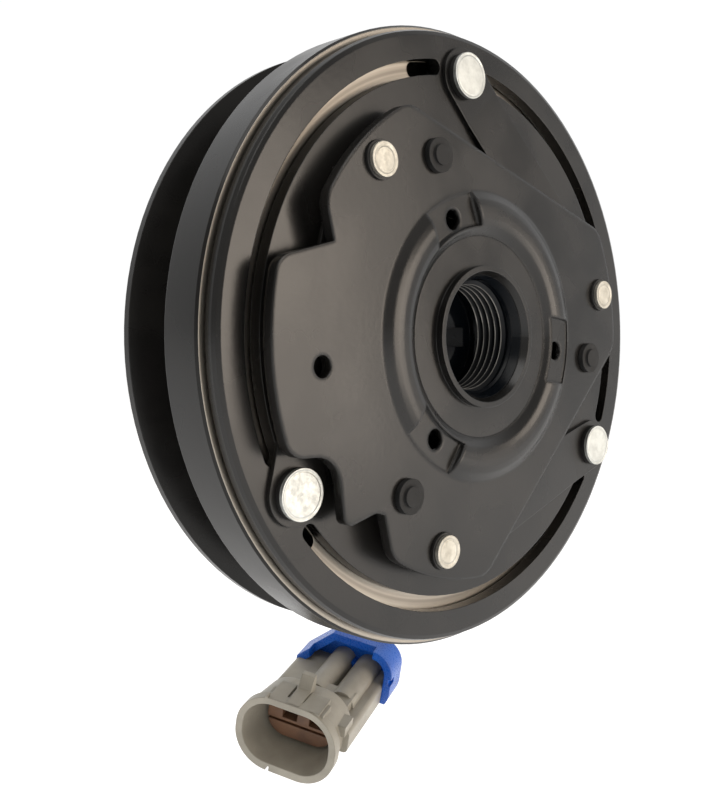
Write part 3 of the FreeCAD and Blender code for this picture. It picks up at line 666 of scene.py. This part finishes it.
class Finishes:
    """Every finish of the clutch."""

    PAINT = SatinPaint("black paint")
    PLATE = SatinPaint("plate paint", edge=0.9 * MM, roughness=0.25)
    BORE = SatinPaint(
        "bore paint", colour=(0.002, 0.003, 0.0045), worn=(0.007, 0.009, 0.012), gloss=0.16
    )
    THREAD = ThreadPaint(
        "thread paint", colour=(0.002, 0.003, 0.0045), gloss=0.2, edge=0.03 * MM
    )
    PULLEY = PulleyPaint("pulley paint")
    BIG_RIVET = RivetZinc(
        "bright zinc",
        bright=(0.62, 0.635, 0.61),
        dull=(0.47, 0.48, 0.46),
        roughness=0.5,
        ring_radius=3.9,
    )
    SMALL_RIVET = RivetZinc(
        "warm zinc",
        bright=(0.56, 0.54, 0.48),
        dull=(0.38, 0.36, 0.31),
        roughness=0.5,
        top=9.7,
        pitch_radius=41.34,
        first_angle=133.3,
    )
    ZINC = PlatedSteel(
        "dull zinc", bright=(0.62, 0.62, 0.58), dull=(0.44, 0.44, 0.41), roughness=0.4
    )
    GROUND = PlatedSteel(
        "ground steel", bright=(0.70, 0.70, 0.70), dull=(0.58, 0.58, 0.58), roughness=0.16
    )
    SPRING = PlatedSteel("phosphated steel", bright=(0.13, 0.13, 0.12), dull=(0.08, 0.08, 0.075))
    BLADE = PlatedSteel(
        "tinned blade", bright=(0.74, 0.70, 0.62), dull=(0.58, 0.54, 0.46), roughness=0.28
    )
    COPPER = WoundCopper("wound copper")
    RESIN = MouldedPlastic("coil resin", colour=(0.035, 0.034, 0.036), shade=(0.02, 0.02, 0.022))
    CAGE = MouldedPlastic("cage plastic", colour=(0.12, 0.26, 0.15), shade=(0.09, 0.20, 0.11))
    GREY = MouldedPlastic(
        "grey plastic", colour=(0.36, 0.332, 0.275), shade=(0.285, 0.262, 0.215), roughness=0.4
    )
    BLUE = MouldedPlastic(
        "blue plastic", colour=(0.006, 0.115, 0.56), shade=(0.004, 0.08, 0.44), roughness=0.3
    )
    BROWN = MouldedPlastic("brown seal", colour=(0.185, 0.09, 0.045), shade=(0.10, 0.048, 0.026))
    RUBBER = Rubber("black rubber")
    SLEEVE = Rubber("lead sleeve", colour=(0.014, 0.014, 0.015), roughness=0.5)
    FLOOR = PaleFloor("pale floor")


# --- meshes ---------------------------------------------------------------------------------------


def link_mesh(name: str, mesh: bmesh.types.BMesh, finish: Finish) -> bpy.types.Object:
    """Turns a bmesh into a flat-shaded object in the scene.

    Args:
        name: Name of the piece.
        mesh: Its mesh, which is freed.
        finish: Its finish.

    Returns:
        The new object.
    """
    data = bpy.data.meshes.new(name)
    bmesh.ops.recalc_face_normals(mesh, faces=mesh.faces)
    mesh.to_mesh(data)
    mesh.free()
    made = bpy.data.objects.new(name, data)
    bpy.context.scene.collection.objects.link(made)
    data.materials.append(finish.material())
    return made


# --- sub-assemblies -------------------------------------------------------------------------------


@dataclass
class SubAssembly:
    """A group of pieces with a name, its carried-over nodes and their finishes."""

    title: str = "sub-assembly"
    finishes: dict[str, Finish] = field(default_factory=dict)

    def dress(self) -> None:
        """Gives each carried-over node its finish."""
        for node, finish in self.finishes.items():
            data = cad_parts[node].data
            data.materials.clear()
            data.materials.append(finish.material())
            log.info("%s: dressed %s", self.title, node)

    def build(self) -> None:
        """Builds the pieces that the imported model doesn't have."""

    def make(self) -> None:
        """Builds and dresses the whole sub-assembly."""
        self.build()
        self.dress()
        log.info("%s: done", self.title)


@dataclass
class Lead(SubAssembly):
    """The lead from the coil's strain relief to the connector.

    The radius is in millimetres.
    """

    title: str = "lead"
    radius: float = 2.2
    round_steps: int = 8
    bend_steps: int = 16
    curve_order: int = 3
    length: float = 0.1100
    exit: Place = (0.0292, 0.014, -0.0228)
    route: tuple[Place, ...] = (
        (0.0292, 0.0140, -0.0228),
        (0.0292, 0.0320, -0.0233),
        (0.0380, 0.0465, -0.0335),
        (0.0490, 0.0510, -0.0500),
        (0.0515, 0.0440, -0.0680),
        (0.03999, 0.03054, -0.07672),
        (0.02454, 0.02368, -0.07988),
    )
    pieces: tuple[str, ...] = (
        "connector_housing",
        "connector_blades",
        "connector_face_seal",
        "connector_lock",
        "connector_wire_boot",
    )
    finishes: dict[str, Finish] = field(
        default_factory=lambda: {"lead_strain_relief": Finishes.RUBBER}
    )

    def build(self) -> None:
        curve = bpy.data.curves.new("lead_cord", "CURVE")
        curve.dimensions = "3D"
        curve.bevel_depth = self.radius * MM
        curve.bevel_resolution = self.round_steps
        curve.resolution_u = self.bend_steps
        curve.use_fill_caps = True
        spline = curve.splines.new("NURBS")
        spline.points.add(len(self.route) - 1)
        for point, place in zip(spline.points, self.route):
            point.co = (*place, 1.0)
        spline.order_u = self.curve_order
        spline.use_endpoint_u = True
        curve.materials.append(Finishes.SLEEVE.material())
        cord = bpy.data.objects.new("lead_cord", curve)
        bpy.context.scene.collection.objects.link(cord)
        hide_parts("lead")
        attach(cord, Body.COIL.value)


@dataclass
class FieldCoil(SubAssembly):
    """The fixed coil with its mounting plate."""

    title: str = "field coil"
    finishes: dict[str, Finish] = field(
        default_factory=lambda: {
            "coil_shell": Finishes.ZINC,
            "coil_plate": Finishes.ZINC,
            "coil_locating_pin": Finishes.ZINC,
            "coil_bobbin": Finishes.RESIN,
            "coil_potting": Finishes.RESIN,
            "coil_winding": Finishes.COPPER,
        }
    )


@dataclass
class Bearing(SubAssembly):
    """The double-row ball bearing and its circlip."""

    title: str = "bearing"
    finishes: dict[str, Finish] = field(
        default_factory=lambda: {
            "bearing_inner_ring": Finishes.GROUND,
            "bearing_outer_ring": Finishes.GROUND,
            "bearing_balls": Finishes.GROUND,
            "bearing_cage": Finishes.CAGE,
            "bearing_front_seal": Finishes.RUBBER,
            "bearing_rear_seal": Finishes.RUBBER,
            "bearing_circlip": Finishes.SPRING,
        }
    )


@dataclass
class Pulley(SubAssembly):
    """The rotor and the two halves of the V-groove pulley."""

    title: str = "pulley"
    finishes: dict[str, Finish] = field(
        default_factory=lambda: {
            "rotor": Finishes.PULLEY,
            "pulley_front_half": Finishes.PULLEY,
            "pulley_rear_half": Finishes.PULLEY,
        }
    )


@dataclass
class Hub(SubAssembly):
    """The keyed hub, its plate, rivets, stops and leaf springs.

    The thread's sizes are in millimetres, and its stations are in front of the friction face.
    """

    title: str = "hub"
    thread_root: float = 11.02
    thread_crest: float = 10.19
    thread_pitch: float = 1.5
    thread_front: float = 6.1
    thread_full: float = 4.6
    thread_back: float = -3.3
    crest_half: float = 0.06
    root_half: float = 0.62
    run_out: float = 0.75
    least_crest: float = 0.02
    steps_per_turn: int = 96
    finishes: dict[str, Finish] = field(
        default_factory=lambda: {
            "hub": Finishes.BORE,
            "hub_flange": Finishes.PAINT,
            "hub_plate": Finishes.PLATE,
            "hub_rivets": Finishes.SMALL_RIVET,
            "rubber_stops": Finishes.RUBBER,
            "leaf_spring_1": Finishes.PAINT,
            "leaf_spring_2": Finishes.PAINT,
            "leaf_spring_3": Finishes.PAINT,
        }
    )

    def crest_radius(self, station: float) -> float:
        """Radius of the thread's crest at a station.

        Args:
            station: Distance in front of the friction face, in millimetres.

        Returns:
            The radius in millimetres, which runs out into the bore at both ends.
        """
        depth = self.thread_root - self.thread_crest
        front = (self.thread_front - station) / (self.thread_front - self.thread_full)
        back = (station - self.thread_back) / self.run_out
        return self.thread_root - depth * max(self.least_crest, min(1.0, front, back))

    def build(self) -> None:
        """Builds the puller thread's crests as one winding ridge."""
        mesh = bmesh.new()
        turns = (self.thread_front - self.thread_back) / self.thread_pitch
        rows = []
        for step in range(int(turns * self.steps_per_turn) + 1):
            station = self.thread_back + self.thread_pitch * step / self.steps_per_turn
            angle = 360.0 * step / self.steps_per_turn
            crest = self.crest_radius(station)
            row = []
            for radius, shift in (
                (self.thread_root, -self.root_half),
                (crest, -self.crest_half),
                (crest, self.crest_half),
                (self.thread_root, self.root_half),
            ):
                row.append(mesh.verts.new(polar(radius, angle, ahead(station + shift))))
            rows.append(row)
        for row, after in zip(rows, rows[1:]):
            for index in range(len(row) - 1):
                mesh.faces.new((row[index], row[index + 1], after[index + 1], after[index]))
            mesh.faces.new((row[-1], row[0], after[0], after[-1]))
        mesh.faces.new(rows[0])
        mesh.faces.new(rows[-1][::-1])
        thread = link_mesh("puller_thread", mesh, Finishes.THREAD)
        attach(thread, Body.HUB.value)
        log.info("%s: built %s", self.title, thread.name)


@dataclass
class Armature(SubAssembly):
    """The armature plate and its rivets."""

    title: str = "armature"
    finishes: dict[str, Finish] = field(
        default_factory=lambda: {
            "armature_plate": Finishes.PAINT,
            "armature_rivets": Finishes.BIG_RIVET,
        }
    )


@dataclass
class Connector(SubAssembly):
    """The two-way connector at the end of the lead."""

    title: str = "connector"
    finishes: dict[str, Finish] = field(
        default_factory=lambda: {
            "connector_housing": Finishes.GREY,
            "connector_blades": Finishes.BLADE,
            "connector_face_seal": Finishes.BROWN,
            "connector_lock": Finishes.BLUE,
            "connector_wire_boot": Finishes.BLUE,
        }
    )


# --- studio ---------------------------------------------------------------------------------------


@dataclass
class Camera:
    """The camera in front of the clutch, to the left of its axis.

    The sensor's side is in millimetres, and the lens is the focal length over that side.
    """

    place: Place = (-0.14582, -0.15530, -0.00142)
    azimuth: float = -46.51
    elevation: float = 0.94
    sensor: float = 36.0
    lens: float = 971.7 / 810
    shift: Range = (-0.0679, -0.0556)
    clip: Range = (0.005, 50.0)

    def make(self) -> None:
        """Adds the camera and makes it the scene's own."""
        back = direction(self.azimuth, self.elevation)
        data = bpy.data.cameras.new("camera")
        data.lens = self.lens * self.sensor
        data.sensor_width = self.sensor
        data.shift_x, data.shift_y = self.shift
        data.clip_start, data.clip_end = self.clip
        camera = bpy.data.objects.new("camera", data)
        camera.location = self.place
        camera.rotation_mode = "QUATERNION"
        camera.rotation_quaternion = (-back).to_track_quat("-Z", "Y")
        bpy.context.scene.collection.objects.link(camera)
        bpy.context.scene.camera = camera


@dataclass
class SoftBox:
    """A soft square light that faces the clutch."""

    name: str
    azimuth: float
    elevation: float
    distance: float
    side: float
    power: float
    colour: Colour
    target: Place = (0.0, -0.02, -0.01)

    def make(self) -> None:
        """Adds the light, aimed at the clutch."""
        way = direction(self.azimuth, self.elevation)
        data = bpy.data.lights.new(self.name, "AREA")
        data.shape = "RECTANGLE"
        data.size, data.size_y = self.side, self.side
        data.energy = self.power
        data.color = self.colour
        lamp = bpy.data.objects.new(self.name, data)
        lamp.location = way * self.distance + Vector(self.target)
        lamp.rotation_mode = "QUATERNION"
        lamp.rotation_quaternion = (-way).to_track_quat("-Z", "Y")
        bpy.context.scene.collection.objects.link(lamp)


@dataclass
class Studio:
    """Pale floor, white surroundings and soft boxes."""

    floor_z: float = -0.14
    floor_half: float = 6.0
    floor_cells: int = 8
    surroundings: Colour = (1.0, 1.0, 1.0)
    front: Colour = (0.44, 0.43, 0.415)
    behind: Place = (0.725, 0.688, 0.0)
    turn_white: Range = (-0.1, 0.45)
    brightness: float = 1.02
    boxes: tuple[SoftBox, ...] = (
        SoftBox("key box", 27.0, 2.0, 0.9, 0.5, 4.2, (1.0, 0.87, 0.74)),
        SoftBox("top box", -55.0, 62.0, 1.1, 0.8, 5.0, (1.0, 0.98, 0.95)),
    )

    def make_floor(self) -> None:
        """Adds the floor."""
        mesh = bmesh.new()
        cells = self.floor_cells
        bmesh.ops.create_grid(mesh, x_segments=cells, y_segments=cells, size=self.floor_half)
        bmesh.ops.translate(mesh, verts=mesh.verts, vec=(0.0, 0.0, self.floor_z))
        floor = link_mesh("floor", mesh, Finishes.FLOOR)

    def make_surroundings(self) -> None:
        """Lights the scene softly, white behind the clutch and dimmer in front of it."""
        world = bpy.data.worlds.new("surroundings")
        world.use_nodes = True
        tree = world.node_tree
        background = tree.nodes["Background"]
        way = tree.nodes.new("ShaderNodeTexCoord")
        toward = tree.nodes.new("ShaderNodeVectorMath")
        toward.operation = "DOT_PRODUCT"
        toward.inputs[1].default_value = self.behind
        share = tree.nodes.new("ShaderNodeMapRange")
        share.interpolation_type = "SMOOTHSTEP"
        share.inputs["From Min"].default_value = self.turn_white[0]
        share.inputs["From Max"].default_value = self.turn_white[1]
        mixed = tree.nodes.new("ShaderNodeMix")
        mixed.data_type = "RGBA"
        mixed.inputs[MIX_FIRST].default_value = (*self.front, 1.0)
        mixed.inputs[MIX_SECOND].default_value = (*self.surroundings, 1.0)
        tree.links.new(way.outputs["Generated"], toward.inputs[0])
        tree.links.new(toward.outputs["Value"], share.inputs["Value"])
        tree.links.new(share.outputs["Result"], mixed.inputs[MIX_SHARE])
        tree.links.new(mixed.outputs[MIX_RESULT], background.inputs["Color"])
        background.inputs["Strength"].default_value = self.brightness
        bpy.context.scene.world = world
        bpy.context.scene.view_settings.view_transform = "Standard"

    def make(self) -> None:
        """Builds the whole studio."""
        self.make_floor()
        self.make_surroundings()
        for box in self.boxes:
            box.make()
        log.info("studio: done")


def main() -> None:
    """Builds every piece in order."""
    logging.basicConfig(level=logging.INFO, format="%(name)s %(message)s")
    Camera().make()
    assemblies = [Lead(), FieldCoil(), Bearing(), Pulley(), Hub(), Armature(), Connector()]
    for assembly in assemblies:
        assembly.make()
    Studio().make()


if __name__ == "__main__":
    main()
